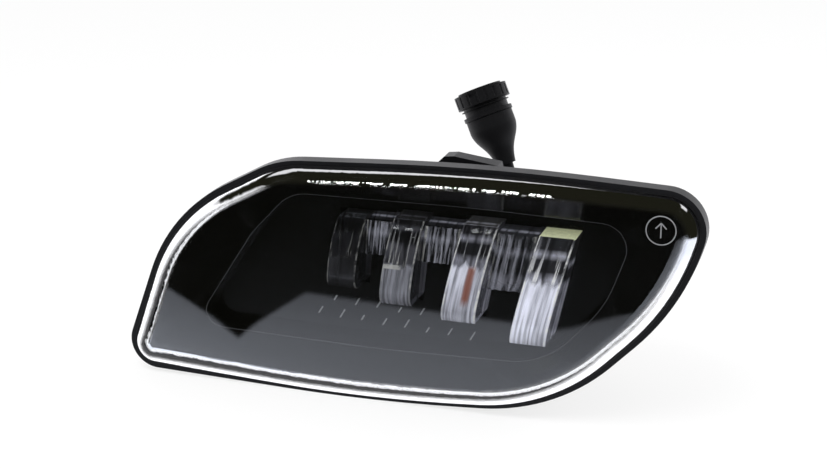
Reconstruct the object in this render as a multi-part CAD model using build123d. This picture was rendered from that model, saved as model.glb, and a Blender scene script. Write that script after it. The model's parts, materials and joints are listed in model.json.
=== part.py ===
"""Slim LED fog light for a heavy vehicle, left-hand side, built as separate parts.

Units are millimetres. X points right as seen from in front of the lamp, Y points rearwards
and Z points up. The shapes are drawn about the centre of the rim outline, with Y = 0 in the
plane of the rim's front face. When a part is written it is moved so that the origin is the
centre of the rear bolt pattern, in the plane of the boss faces. Every part is written to
parts/NODE.step in its place in the assembled lamp.
"""
import math
import os

from build123d import *

# ---- rim outline: corner x, corner z and corner radius, going anticlockwise from in front
RIM_CORNERS = (
    (-147.0, -57.5, 14.0),
    (-14.0, -61.0, 900.0),
    (75.0, -54.5, 95.0),
    (132.0, 4.5, 118.0),
    (146.5, 58.0, 19.0),
    (39.0, 61.5, 1100.0),
    (-61.5, 55.5, 51.0),
    (-117.5, 24.5, 87.0),
)
# ---- opening of the bezel recess, same order of corners
RECESS_CORNERS = (
    (-112.0, -37.0, 8.0),
    (-14.0, -38.5, 900.0),
    (66.0, -36.0, 40.0),
    (94.0, -4.0, 60.0),
    (108.0, 36.0, 12.0),
    (30.0, 37.5, 900.0),
    (-60.0, 36.0, 20.0),
    (-80.0, 14.0, 40.0),
)
# ---- rear wall of the housing, same order of corners
REAR_CORNERS = (
    (-116.0, -43.0, 9.0),
    (-14.0, -46.0, 700.0),
    (62.0, -41.0, 60.0),
    (106.0, 0.0, 60.0),
    (116.0, 31.0, 9.0),
    (36.0, 33.5, 900.0),
    (-56.0, 27.0, 25.0),
    (-95.0, 3.0, 50.0),
)

# ---- rim and lens
RIM_DEPTH = 8.0
LIP = 2.4                    # outer wall of the lens groove
GROOVE_FLOOR = 5.5
GROOVE_INNER = 5.8           # inset of the inner side of the groove
INNER_WALL = 8.3             # inset of the opening behind the groove
INNER_WALL_FRONT = 2.0
LENS_INSET = 2.7
LENS_WALL = 2.8
LENS_APEX = -11.0            # Y of the foremost point of the lens
LENS_DOME = 2500.0           # radius of the gentle front dome
LENS_EDGE = 10.0             # outer radius where the front turns into the side
LENS_REAR = 4.6
SEAL_GAP = 0.05

# ---- housing body
BODY_INSET = 4.5             # where the body leaves the rear face of the rim
WALL = 3.0
REAR_INNER = 69.0
REAR_OUTER = REAR_INNER + WALL
RIM_REAR_EDGE = 1.0          # rounding of the rear edge of the rim
TAB_FRONT = 16.0             # raised tab on top, in Y
TAB_REAR = 24.0

# ---- rear bolt pattern with M6 brass inserts
BOLT_X = (-62.0, 52.0)
BOLT_Z = (-28.0, 14.0)
BOSS_RADIUS = 7.0
BOSS_REAR = 82.0
INSERT_RADIUS = 4.0
INSERT_BORE = 2.5
INSERT_LENGTH = 10.0
INSERT_DRILLING = INSERT_LENGTH + 1.0

# ---- bezel
BEZEL_WALL = 2.5
BEZEL_FRONT = -0.5
BEZEL_INSET = 7.4
RECESS_START = 12.0
RECESS_FLOOR = 22.0
FLOOR_THICKNESS = 2.0
SLOT_SIDE = 1.2              # room beside each blade in its slot
SLOT_END = 2.0               # room above and below each blade and bridge
SLOT_MERGE = -1.5            # bridge slots are narrower, so that they join the blade slots

# ---- optical module: it tilts about an axis along X through PIVOT_Y, PIVOT_Z
PIVOT_Y = 36.0
PIVOT_Z = 32.0
PIN_RADIUS = 2.0
PIN_PLAY = 0.05
EAR_RADIUS = 4.2
HOUSING_EARS = ((-51.0, -45.5), (99.5, 105.0))
CARRIER_EARS = ((-44.0, -40.5), (94.5, 98.0))
PIN_ENDS = ((-40.0, -52.5), (94.0, 106.5))
CARRIER_FRONT = 29.0
CARRIER_REAR = 33.0
BOARD_REAR = 34.6
PAD_REAR = 35.1
SINK_BASE_REAR = 38.1
SINK_REAR = 50.0
MODULE_LEFT = -42.0
MODULE_RIGHT = 96.0
MODULE_LOW = -32.0
MODULE_TOP = 28.0
MODULE_CUT_X = 58.0          # the lower right corner is cut from here ...
MODULE_CUT_Z = 2.0           # ... up to here, to follow the slanted housing

MODULE_SCREWS = ((-37.0, -27.0), (89.0, 3.0), (-37.0, 12.0), (88.0, 19.0), (11.0, -27.0), (47.0, -27.0))
SCREW_CLEARANCE = 1.7
LED_SIZE = 3.5
LED_SHARES = (0.25, 0.55, 0.85)          # heights of the LEDs along a blade
FIN_PITCH = 8.0
FIN_THICKNESS = 1.8
PLUG_X = (-34.5, -25.0)
PLUG_Z = (18.5, 26.0)

# ---- blade lenses: centre x at z = 5, low end, top end, width, sideways lean in degrees
BLADES = (
    (-31.0, -7.0, 26.0, 14.5, 4.0),
    (-3.5, -13.0, 28.0, 15.5, 6.0),
    (29.5, -18.0, 28.5, 17.0, 10.5),
    (65.5, -25.5, 26.5, 17.5, 12.5),
)
BLADE_FRONT = 2.0
BLADE_SHOULDER = 14.0        # Y where the flat top meets the bulging front
BLADE_FOOT = 7.5             # Y of the lower front edge
BLADE_NOSE_SHARE = 0.22      # height of the foremost point as a share of the blade
BLADE_REF_Z = 5.0
BLADE_EDGE = 1.2
BRIDGE_FRONT = 13.0
BRIDGE_LOW = (9.0, 8.0, -2.0)
BRIDGE_TOP = 26.0
BRIDGE_GAP = 0.4             # between a bridge and its blades
BRIDGE_RIBS = 4
BRIDGE_RIB_PITCH = 3.2

# ---- aiming screw
AIM_X = -84.0
AIM_Z = -22.0
BALL_Y = 40.0
BALL_RADIUS = 4.0
BALL_PLAY = 0.35
SCREW_RADIUS = 2.95
SCREW_TIP = 51.5
SLEEVE_REAR = 79.0
SLEEVE_BORE = 5.0
SLEEVE_RADIUS = 11.0
RAIL_OFFSETS = (-7.9, 6.4)   # lower side of the two rails that keep the nut from turning
RAIL_THICKNESS = 1.5
RAIL_FRONT = 52.0
KNURL_TEETH = 16

# ---- driver board on the rear wall
DRIVER_LEFT = -50.0
DRIVER_RIGHT = 8.0
DRIVER_LOW = -32.0
DRIVER_TOP = 16.5
DRIVER_FRONT = 61.0
DRIVER_REAR = 62.6
DRIVER_SCREW_INSET = 4.0
STANDOFF_RADIUS = 3.2
STANDOFF_BORE = 1.2

# ---- vent on the rear wall
VENT_X = -18.0
VENT_Z = 4.0
VENT_SEAT_RADIUS = 9.5
VENT_SEAT_REAR = REAR_OUTER + 1.5
VENT_HOLE = 3.0

# ---- pigtail: the cable leaves the gland along Y and turns up into the connector
GLAND_X = 24.0
GLAND_Z = 10.0
GLAND_SEAT_RADIUS = 12.5
GLAND_SEAT_REAR = REAR_OUTER + 3.0
GLAND_HOLE = 8.0
GLAND_BORE = 5.4
NUT_FRONT = REAR_OUTER + 8.1
NUT_REAR = REAR_OUTER + 15.5
CABLE_RADIUS = 3.4
PIGTAIL_START = Vector(GLAND_X, 88.5, GLAND_Z)
BOOT_BOTTOM = Vector(22.5, 100.0, 32.5)
CONNECTOR_AXIS = Vector(-0.42, 0.185, 0.8885).normalized()
CONNECTOR_SIDE = (1.0, 0.0, 0.4727)      # direction across the connector, square to its axis

# ---- connector: distances along its axis from the small end of the boot
BOOT_SMALL = 4.9
BOOT_LARGE = 12.0
BOOT_SHOULDER = 19.5         # where the boot has reached its large radius
SHELL_START = 25.0
SHANK_RADIUS = 7.2
COLLAR = 28.0
COLLAR_RADIUS = 12.6
NECK_RADIUS = 11.2
NECK_END = 31.5
RING_START = 32.7
RING_END = 39.6
RING_RADIUS = 13.6
RING_GRIPS = 18
MOUTH = 40.6
MOUTH_FLOOR = COLLAR + 4.5
MOUTH_BORE = 8.6
SEAT_BORE = 8.1              # narrower pocket below the mouth for the insert and the seal
SEAT_FLOOR = COLLAR + 1.0
SHELL_BORE = 4.6
TERMINAL_SPREAD = 3.2
TERMINAL_RADIUS = 1.3
TERMINAL_BORE = 0.8


def on_front(y):
    """Plane facing the front at depth y, whose local x and y are the lamp's X and Z."""
    return Plane(origin=(0, y, 0), x_dir=(1, 0, 0), z_dir=(0, -1, 0))


def slab(sketch, y_front, y_rear):
    """Sketch drawn in X and Z, made solid from y_front to y_rear."""
    return extrude(on_front(y_front) * sketch, amount=y_rear - y_front, dir=(0, 1, 0))


def rod(radius, x, z, y_front, y_rear):
    """Round bar along Y."""
    return slab(Pos(x, z) * Circle(radius), y_front, y_rear)


def tube(radius, bore, x, z, y_front, y_rear):
    """Round tube along Y."""
    return slab(Pos(x, z) * (Circle(radius) - Circle(bore)), y_front, y_rear)


def block(x_left, x_right, z_low, z_top, y_front, y_rear):
    """Rectangular block between six faces."""
    size = (x_right - x_left, y_rear - y_front, z_top - z_low)
    middle = ((x_left + x_right) / 2, (y_front + y_rear) / 2, (z_low + z_top) / 2)
    return Pos(*middle) * Box(*size)


def moved_corners(corners, inset):
    """Corners of the polygon with every side moved inwards by inset."""
    moved = []
    for index, (x, z, radius) in enumerate(corners):
        x_before, z_before, _ = corners[index - 1]
        x_after, z_after, _ = corners[(index + 1) % len(corners)]
        side_in = Vector(x - x_before, z - z_before).normalized()
        side_out = Vector(x_after - x, z_after - z).normalized()
        half_turn = math.atan2(
            side_in.X * side_out.Y - side_in.Y * side_out.X, side_in.dot(side_out)
        ) / 2
        inwards = Vector(-side_in.Y - side_out.Y, side_in.X + side_out.X).normalized()
        point = Vector(x, z) + inwards * (inset / math.cos(half_turn))
        moved.append((point, radius - inset, side_in, side_out, half_turn, inwards))
    return moved


def outline(corners, inset=0.0):
    """Closed outline with a tangent arc at every corner, as a face in local x and y."""
    arcs = []
    for point, radius, side_in, side_out, half_turn, inwards in moved_corners(corners, inset):
        tangent = radius * math.tan(half_turn)
        centre = point + inwards * (radius / math.cos(half_turn))
        arcs.append((point - side_in * tangent, centre - inwards * radius, point + side_out * tangent))
    edges = []
    for index, (start, middle, end) in enumerate(arcs):
        edges.append(Edge.make_three_point_arc(start, middle, end))
        edges.append(Edge.make_line(end, arcs[(index + 1) % len(arcs)][0]))
    return Face(Wire(edges))


def rim_ring(outer_inset, inner_inset, y_front, y_rear):
    """Ring that follows the rim outline between two insets."""
    outer = slab(outline(RIM_CORNERS, outer_inset), y_front, y_rear)
    return outer - slab(outline(RIM_CORNERS, inner_inset), y_front - 1, y_rear + 1)


def funnel(front_face, y_front, rear_face, y_rear):
    """Straight-sided transition between two outlines with matching corners."""
    sections = [on_front(y_front) * front_face, on_front(y_rear) * rear_face]
    return loft(sections, ruled=True)


# ------------------------------------------------------------------ housing
def body_solid(inset_more):
    """Tapered body behind the rim; inset_more = 0 is the outside, WALL is the inside."""
    rear = REAR_OUTER if inset_more == 0 else REAR_INNER
    front_face = outline(RIM_CORNERS, BODY_INSET + inset_more)
    rear_face = outline(REAR_CORNERS, inset_more)
    return funnel(front_face, RIM_DEPTH - 1, rear_face, rear)


def mount_bosses():
    """Four bosses for the threaded inserts, still without their drillings."""
    bosses = Part()
    for x in BOLT_X:
        for z in BOLT_Z:
            bosses += rod(BOSS_RADIUS, x, z, REAR_INNER + 1, BOSS_REAR)
    return bosses


def boss_holes():
    """Drillings for the inserts, to cut from the body."""
    holes = Part()
    for x in BOLT_X:
        for z in BOLT_Z:
            holes += rod(INSERT_RADIUS, x, z, BOSS_REAR - INSERT_DRILLING, BOSS_REAR)
    return holes


def pivot_ear(x_left, x_right):
    """Bracket from the rear wall that carries one pivot pin."""
    profile = Polyline(
        (PIVOT_Y - 5, PIVOT_Z - 5),
        (REAR_INNER + 1, PIVOT_Z - 17),
        (REAR_INNER + 1, PIVOT_Z - 5),
        (PIVOT_Y + 5, PIVOT_Z + 4.5),
        (PIVOT_Y - 3, PIVOT_Z + 4.5),
        (PIVOT_Y - 5, PIVOT_Z + 2.5),
        close=True,
    )
    side = Plane(origin=(x_left, 0, 0), x_dir=(0, 1, 0), z_dir=(1, 0, 0))
    ear = extrude(side * make_face(profile), amount=x_right - x_left, dir=(1, 0, 0))
    bore = Pos(0, PIVOT_Y, PIVOT_Z) * Rot(0, 90, 0) * Cylinder(PIN_RADIUS + PIN_PLAY, 400)
    return ear - bore


def locating_tab():
    """Raised tab on top that centres the lamp in the bumper opening."""
    side = Polyline(
        (8, 40),
        (9, 53.4),
        (15.3, 59.7),
        (20, 60.3),
        (41, 57.6),
        (42, 53),
        (42, 40),
        close=True,
    )
    return slab(make_face(side), TAB_FRONT, TAB_REAR)


def housing():
    """Rim with the lens groove, tapered body, rear wall and everything moulded onto it."""
    rim = slab(outline(RIM_CORNERS), 0, RIM_DEPTH)
    edge_loops = rim.faces().sort_by(Axis.Y)
    rim = fillet(edge_loops[-1].outer_wire().edges(), RIM_REAR_EDGE)
    body = rim + body_solid(0) + locating_tab() + mount_bosses()
    body += rod(SLEEVE_RADIUS, AIM_X, AIM_Z, REAR_OUTER - 1, SLEEVE_REAR)
    body += rod(GLAND_SEAT_RADIUS, GLAND_X, GLAND_Z, REAR_OUTER - 1, GLAND_SEAT_REAR)
    body += rod(VENT_SEAT_RADIUS, VENT_X, VENT_Z, REAR_OUTER - 1, VENT_SEAT_REAR)
    body -= body_solid(WALL)
    body -= slab(outline(RIM_CORNERS, LIP), -1, GROOVE_FLOOR)
    body += rim_ring(GROOVE_INNER, INNER_WALL, INNER_WALL_FRONT, GROOVE_FLOOR + 0.5)
    body -= slab(outline(RIM_CORNERS, INNER_WALL), -1, RIM_DEPTH)
    for x_left, x_right in HOUSING_EARS:
        body += pivot_ear(x_left, x_right)
    for offset in RAIL_OFFSETS:
        low = AIM_Z + offset
        body += block(AIM_X - 6, AIM_X + 6, low, low + RAIL_THICKNESS, RAIL_FRONT, REAR_INNER + 1)
    for x, z in driver_screw_places():
        body += tube(STANDOFF_RADIUS, STANDOFF_BORE, x, z, DRIVER_REAR, REAR_INNER + 1)
    body -= boss_holes()
    body -= rod(SCREW_RADIUS + 0.15, AIM_X, AIM_Z, REAR_INNER - 2, REAR_OUTER + 2)
    body -= rod(SLEEVE_BORE, AIM_X, AIM_Z, REAR_OUTER, SLEEVE_REAR + 1)
    body -= rod(GLAND_HOLE, GLAND_X, GLAND_Z, REAR_INNER - 1, GLAND_SEAT_REAR + 1)
    body -= rod(VENT_HOLE, VENT_X, VENT_Z, REAR_INNER - 1, VENT_SEAT_REAR + 1)
    return body


# ------------------------------------------------------------------ lens, seal and bezel
def lens_body(offset):
    """Outer form of the lens, moved inwards by offset."""
    form = slab(outline(RIM_CORNERS, LENS_INSET + offset), LENS_APEX - 5, LENS_REAR + offset)
    radius = LENS_DOME - offset
    ball = Pos(0, LENS_APEX + LENS_DOME, 0) * Sphere(radius)
    form = form & ball
    front = form.faces().sort_by(Axis.Y)[0]
    return fillet(front.outer_wire().edges(), LENS_EDGE - offset)


def outer_lens():
    """Clear shell with a domed front, rounded edge and a skirt that sits in the groove."""
    return lens_body(0) - lens_body(LENS_WALL)


def lens_seal():
    """Bead in the bottom of the groove, under the lens skirt."""
    return rim_ring(LIP + SEAL_GAP, GROOVE_INNER - SEAL_GAP, LENS_REAR, GROOVE_FLOOR)


def blade_slots():
    """Openings in the bezel floor for the blade lenses and the bridges between them."""
    front = RECESS_FLOOR - 1
    rear = RECESS_FLOOR + FLOOR_THICKNESS + 1
    slots = Part()
    for blade in BLADES:
        slots += slab(blade_section(blade, SLOT_SIDE, SLOT_END), front, rear)
    for index in range(len(BRIDGE_LOW)):
        slots += slab(bridge_section(index, SLOT_MERGE, SLOT_END), front, rear)
    return slots


def bezel():
    """Thin black surround: a rim ledge, a slope to the recess, recess walls and a slotted floor."""
    flange = slab(outline(RIM_CORNERS, BEZEL_INSET), BEZEL_FRONT, INNER_WALL_FRONT)
    outer = funnel(
        outline(RIM_CORNERS, INNER_WALL + 0.4),
        INNER_WALL_FRONT - 0.1,
        outline(RECESS_CORNERS, -BEZEL_WALL),
        RECESS_START + 1.5,
    )
    outer += slab(outline(RECESS_CORNERS, -BEZEL_WALL), RECESS_START + 1, RECESS_FLOOR + FLOOR_THICKNESS)
    inner = funnel(
        outline(RIM_CORNERS, BEZEL_INSET + BEZEL_WALL),
        BEZEL_FRONT - 0.2,
        outline(RECESS_CORNERS),
        RECESS_START,
    )
    inner += slab(outline(RECESS_CORNERS), RECESS_START - 0.5, RECESS_FLOOR)
    return flange + outer - inner - blade_slots()


# ------------------------------------------------------------------ optics
def lean_shift(z, lean):
    """Sideways shift of a leaning blade at height z."""
    return (z - BLADE_REF_Z) * math.tan(math.radians(lean))


def blade_section(blade, side_gap=0.0, end_gap=0.0):
    """Outline of a blade seen from in front, larger all round by the gaps."""
    x, low, top, width, lean = blade
    half = width / 2 + side_gap
    low -= end_gap
    top += end_gap
    at_low = x + lean_shift(low, lean)
    at_top = x + lean_shift(top, lean)
    corners = ((at_low - half, low), (at_low + half, low), (at_top + half, top), (at_top - half, top))
    return make_face(Polyline(*corners, close=True))


def bridge_section(index, side_gap=0.0, end_gap=0.0):
    """Outline of the short optic between blade number index and the next one."""
    left, right = BLADES[index], BLADES[index + 1]
    low = BRIDGE_LOW[index] - end_gap
    top = BRIDGE_TOP + end_gap
    corners = []
    for blade, z, side in ((left, low, 1), (right, low, -1), (right, top, -1), (left, top, 1)):
        x, _, _, width, lean = blade
        edge = x + lean_shift(z, lean) + side * (width / 2 + BRIDGE_GAP + side_gap)
        corners.append((edge, z))
    return make_face(Polyline(*corners, close=True))


def blade_side(low, top):
    """Side profile of a blade in Y and Z: flat top, bulging front, short retreat at the foot."""
    nose = (BLADE_FRONT, low + BLADE_NOSE_SHARE * (top - low))
    shoulder = (BLADE_SHOULDER, top)
    foot = (BLADE_FOOT, low)
    lines = [
        Line((CARRIER_FRONT, low), (CARRIER_FRONT, top)),
        Line((CARRIER_FRONT, top), shoulder),
        TangentArc(nose, shoulder, tangent=(0, 1)),
        TangentArc(nose, foot, tangent=(0, -1)),
        Line(foot, (CARRIER_FRONT, low)),
    ]
    return make_face(lines)


def blade_lens(number):
    """One light-guide blade: the side profile carried along X, trimmed to its leaning outline."""
    blade = BLADES[number - 1]
    x, low, top = blade[0], blade[1], blade[2]
    side = Plane(origin=(x - 40, 0, 0), x_dir=(0, 1, 0), z_dir=(1, 0, 0))
    bulge = extrude(side * blade_side(low, top), amount=80, dir=(1, 0, 0))
    lens = bulge & slab(blade_section(blade), BLADE_FRONT - 1, CARRIER_FRONT)
    curved = [edge for edge in lens.edges() if edge.geom_type != GeomType.LINE]
    return fillet(curved, BLADE_EDGE)


def bridge_lens(index):
    """Short ribbed optic between two blades."""
    body = slab(bridge_section(index), BRIDGE_FRONT, CARRIER_FRONT)
    x, _, _, width, lean = BLADES[index]
    middle_z = 12.0
    start = x + width / 2 + lean_shift(middle_z, lean)
    for rib in range(BRIDGE_RIBS):
        place = Pos(start + (rib + 0.5) * BRIDGE_RIB_PITCH, BRIDGE_FRONT, middle_z)
        body -= place * Rot(0, lean, 0) * Cylinder(0.7, 60)
    return body.solids().sort_by(SortBy.VOLUME)[-1]


# ------------------------------------------------------------------ tilting module
def module_outline(margin):
    """Outline shared by the flat layers of the module, smaller all round by margin."""
    left = MODULE_LEFT + margin
    right = MODULE_RIGHT - margin
    low = MODULE_LOW + margin
    top = MODULE_TOP - margin
    return make_face(Polyline(
        (left, low),
        (MODULE_CUT_X - margin / 2, low),
        (right, MODULE_CUT_Z + margin / 2),
        (right, top),
        (left, top),
        close=True,
    ))


def cut_line_z(x):
    """Height of the slanted lower edge of the module at x."""
    slope = (MODULE_CUT_Z - MODULE_LOW) / (MODULE_RIGHT - MODULE_CUT_X)
    return max(MODULE_LOW, MODULE_LOW + (x - MODULE_CUT_X) * slope)


def led_places():
    """Centre of every LED: a column behind each blade."""
    places = []
    for x, low, top, _, lean in BLADES:
        for share in LED_SHARES:
            z = low + share * (top - low)
            places.append((x + lean_shift(z, lean), z))
    return places


def optic_carrier():
    """Black frame that holds the blades in front and the LED board behind."""
    plate = slab(module_outline(-1.5), CARRIER_FRONT, CARRIER_REAR)
    plate = fillet(plate.edges().filter_by(Axis.Y), 4)
    arm = block(AIM_X - 8, MODULE_LEFT + 2, AIM_Z - 6, AIM_Z + 6, CARRIER_FRONT + 0.5, CARRIER_REAR)
    arm += block(AIM_X, MODULE_LEFT - 0.5, AIM_Z - 1.25, AIM_Z + 1.25, CARRIER_REAR - 1, CARRIER_REAR + 5)
    cup = rod(BALL_RADIUS + 2.2, AIM_X, AIM_Z, CARRIER_REAR - 1, BALL_Y + 3)
    carrier = plate + arm + cup
    for x_left, x_right in CARRIER_EARS:
        axis = Pos((x_left + x_right) / 2, PIVOT_Y, PIVOT_Z) * Rot(0, 90, 0)
        ear = block(x_left, x_right, PIVOT_Z - 9, PIVOT_Z, CARRIER_FRONT + 1, PIVOT_Y + 5)
        ear += axis * Cylinder(EAR_RADIUS, x_right - x_left)
        carrier += ear - axis * Cylinder(PIN_RADIUS, 20)
    carrier -= rod(BALL_RADIUS + BALL_PLAY, AIM_X, AIM_Z, BALL_Y - BALL_RADIUS - 1.5, BALL_Y + 4)
    for x, z in led_places():
        well = LED_SIZE / 2 + 1
        carrier -= block(x - well, x + well, z - well, z + well, CARRIER_FRONT - 1, CARRIER_REAR + 1)
    for x, z in MODULE_SCREWS:
        carrier -= rod(1.2, x, z, CARRIER_FRONT + 0.8, CARRIER_REAR + 1)
    return carrier


def board_plate(inset, y_front, y_rear, hole):
    """Flat layer of the module with clearance holes for the screws."""
    plate = slab(module_outline(inset), y_front, y_rear)
    plate = fillet(plate.edges().filter_by(Axis.Y), 3)
    for x, z in MODULE_SCREWS:
        plate -= rod(hole, x, z, y_front - 1, y_rear + 1)
    for x in (MODULE_LEFT, MODULE_RIGHT):
        plate -= block(x - 5.5, x + 5.5, PIVOT_Z - 10, PIVOT_Z + 10, y_front - 1, y_rear + 1)
    return plate


def led_packages():
    """Surface-mounted LEDs with a raised emitting window."""
    packages = []
    for x, z in led_places():
        half = LED_SIZE / 2
        body = block(x - half, x + half, z - half, z + half, CARRIER_REAR - 0.7, CARRIER_REAR)
        packages.append(body + rod(1.2, x, z, CARRIER_REAR - 0.9, CARRIER_REAR - 0.5))
    return Compound(children=packages)


def heat_sink():
    """Finned aluminium sink clamped to the back of the LED board."""
    sink = board_plate(1.0, PAD_REAR, SINK_BASE_REAR, SCREW_CLEARANCE)
    half = FIN_THICKNESS / 2
    x = MODULE_LEFT + 9.5
    while x < MODULE_RIGHT - FIN_PITCH:
        low = cut_line_z(x) + 3
        sink += block(x - half, x + half, low, MODULE_TOP - 2, SINK_BASE_REAR - 0.5, SINK_REAR)
        x += FIN_PITCH
    for x, z in MODULE_SCREWS:
        sink -= rod(3.2, x, z, SINK_BASE_REAR, SINK_REAR + 1)
        sink -= rod(SCREW_CLEARANCE, x, z, PAD_REAR - 1, SINK_BASE_REAR + 1)
    return sink - plug_window(PAD_REAR, SINK_REAR)


def thermal_pad():
    """Soft sheet between board and sink."""
    return board_plate(3.0, BOARD_REAR, PAD_REAR, 3.4) - plug_window(BOARD_REAR, PAD_REAR)


def plug_window(y_front, y_rear):
    """Space kept free round the LED plug, open at the top."""
    room = 1.5
    left, right = PLUG_X
    return block(left - room, right + room, PLUG_Z[0] - room, MODULE_TOP + 5, y_front - 1, y_rear + 1)


def cap_screw(radius, head_radius, head_height, x, z, y_tip, y_seat):
    """Screw entered from the rear: shank from y_tip to y_seat, socket head behind the seat."""
    screw = rod(radius, x, z, y_tip, y_seat + 0.5)
    screw += rod(head_radius, x, z, y_seat, y_seat + head_height)
    hexagon = Pos(x, z) * RegularPolygon(head_radius * 0.55, 6)
    return screw - slab(hexagon, y_seat + head_height * 0.4, y_seat + head_height + 1)


def module_screws():
    """Six screws that clamp sink, pad and board to the carrier."""
    return Compound(children=[
        cap_screw(1.45, 2.7, 2.6, x, z, CARRIER_FRONT + 1, SINK_BASE_REAR) for x, z in MODULE_SCREWS
    ])


def pivot_pins():
    """Two shouldered pins pressed into the carrier that turn in the housing ears."""
    pins = []
    for x_inner, x_outer in PIN_ENDS:
        middle = (x_inner + x_outer) / 2
        length = abs(x_outer - x_inner)
        pin = Pos(middle, PIVOT_Y, PIVOT_Z) * Rot(0, 90, 0) * Cylinder(PIN_RADIUS, length)
        inner_side = 1 if x_inner > x_outer else -1
        head = Pos(x_inner + inner_side * 0.5, PIVOT_Y, PIVOT_Z) * Rot(0, 90, 0) * Cylinder(3, 1)
        pins.append(pin + head)
    return Compound(children=pins)


def led_plug():
    """White connector on the rear of the LED board, in a notch of the sink."""
    body = block(*PLUG_X, *PLUG_Z, BOARD_REAR, BOARD_REAR + 6)
    left, right = PLUG_X
    low, top = PLUG_Z
    return body - block(left + 1, right - 1, low + 1, top - 1, BOARD_REAR + 1.5, BOARD_REAR + 7)


# ------------------------------------------------------------------ aiming screw
def adjuster_screw():
    """Threaded shaft through the rear wall with a knurled, hexagon-driven head outside."""
    shaft = rod(SCREW_RADIUS, AIM_X, AIM_Z, SCREW_TIP, SLEEVE_REAR)
    shaft = chamfer(shaft.edges().sort_by(Axis.Y)[0], 0.6)
    shoulder = rod(SLEEVE_BORE - 0.15, AIM_X, AIM_Z, REAR_OUTER + 0.4, SLEEVE_REAR + 0.5)
    shoulder -= tube(SLEEVE_BORE + 1, 3.4, AIM_X, AIM_Z, 74.0, 76.2)
    head = rod(9.0, AIM_X, AIM_Z, SLEEVE_REAR + 0.4, SLEEVE_REAR + 6)
    hexagon = slab(Pos(AIM_X, AIM_Z) * RegularPolygon(5.5, 6), SLEEVE_REAR + 5, SLEEVE_REAR + 10)
    screw = shaft + shoulder + head + hexagon
    for tooth in range(KNURL_TEETH):
        angle = 2 * math.pi * tooth / KNURL_TEETH
        x = AIM_X + 9.4 * math.cos(angle)
        z = AIM_Z + 9.4 * math.sin(angle)
        screw -= rod(0.9, x, z, SLEEVE_REAR, SLEEVE_REAR + 7)
    screw -= tube(SCREW_RADIUS + 1, 2.3, AIM_X, AIM_Z, 67.4, 68.4)
    return screw


def adjuster_nut():
    """Square nut with a ball stud that pushes and pulls the module."""
    nut = block(AIM_X - 5.5, AIM_X + 5.5, AIM_Z - 5.9, AIM_Z + 5.9, 46.5, 57)
    nut = chamfer(nut.edges().filter_by(Axis.Y), 0.8)
    nut += rod(2.2, AIM_X, AIM_Z, BALL_Y, 47)
    nut += Pos(AIM_X, BALL_Y, AIM_Z) * Sphere(BALL_RADIUS)
    return nut - rod(SCREW_RADIUS + 0.05, AIM_X, AIM_Z, 48, 58)


def adjuster_seal():
    """O-ring in the groove of the screw's shoulder."""
    minor = 0.78
    return Pos(AIM_X, 75.1, AIM_Z) * Rot(90, 0, 0) * Torus(SLEEVE_BORE - 0.02 - minor, minor)


def adjuster_clip():
    """Open retaining ring inside the rear wall."""
    ring = tube(5.2, 2.45, AIM_X, AIM_Z, 67.5, 68.3)
    return ring - block(AIM_X - 1.6, AIM_X + 1.6, AIM_Z - 8, AIM_Z, 67, 69)


# ------------------------------------------------------------------ driver board, vent, wires
def driver_screw_places():
    """Centres of the four standoffs of the driver board."""
    inset = DRIVER_SCREW_INSET
    columns = (DRIVER_LEFT + inset, DRIVER_RIGHT - inset)
    rows = (DRIVER_LOW + inset, DRIVER_TOP - inset)
    return [(x, z) for z in rows for x in columns]


def driver_board():
    """Circuit board that regulates the LED current."""
    board = block(DRIVER_LEFT, DRIVER_RIGHT, DRIVER_LOW, DRIVER_TOP, DRIVER_FRONT, DRIVER_REAR)
    board = fillet(board.edges().filter_by(Axis.Y), 2)
    for x, z in driver_screw_places():
        board -= rod(1.6, x, z, DRIVER_FRONT - 1, DRIVER_REAR + 1)
    return board


def driver_components():
    """Inductor, capacitors, converter chips, diode and input plug on the driver board."""
    front = DRIVER_FRONT
    inductor = block(-42, -31, -16, -5, front - 4, front)
    inductor = fillet(inductor.edges().filter_by(Axis.Y), 2.5)
    chips = [
        block(-22, -15, -12, -5, front - 1.2, front),
        block(-24, -18, 3, 9, front - 1.5, front),
        block(-8, -2, -22, -18, front - 2, front),
    ]
    cans = [rod(3.0, x, -20.0, front - 4, front) for x in (-27.0, -18.5)]
    chokes = [block(x, x + 3.2, 0, 1.6, front - 0.9, front) for x in (-44.0, -38.0, -12.0, -6.0)]
    plug = block(-10, 0, 4, 12, front - 4, front)
    plug -= block(-9, -1, 5, 11, front - 5, front - 1.2)
    return Compound(children=[inductor, *chips, *cans, *chokes, plug])


def driver_screws():
    """Pan-head screws of the driver board."""
    screws = []
    for x, z in driver_screw_places():
        screw = rod(2.6, x, z, DRIVER_FRONT - 1.8, DRIVER_FRONT)
        screw += rod(STANDOFF_BORE - 0.05, x, z, DRIVER_FRONT - 1, DRIVER_REAR + 5)
        hexagon = Pos(x, z) * RegularPolygon(1.2, 6)
        screws.append(screw - slab(hexagon, DRIVER_FRONT - 3, DRIVER_FRONT - 1))
    return Compound(children=screws)


def vent_membrane():
    """Breathing membrane on the vent seat."""
    return rod(5.0, VENT_X, VENT_Z, VENT_SEAT_REAR, VENT_SEAT_REAR + 0.5)


def vent_cap():
    """Splash cap over the membrane, with slots round its edge."""
    cap = rod(8.0, VENT_X, VENT_Z, VENT_SEAT_REAR, REAR_OUTER + 6)
    cap = fillet(cap.edges().sort_by(Axis.Y)[-1], 1.2)
    cap -= rod(5.6, VENT_X, VENT_Z, REAR_OUTER + 1, REAR_OUTER + 4)
    for slot in range(4):
        bar = Pos(VENT_X, REAR_OUTER + 2.6, VENT_Z) * Rot(0, 45 * slot, 0) * Box(20, 1.2, 2.4)
        cap -= bar
    return cap


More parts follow.
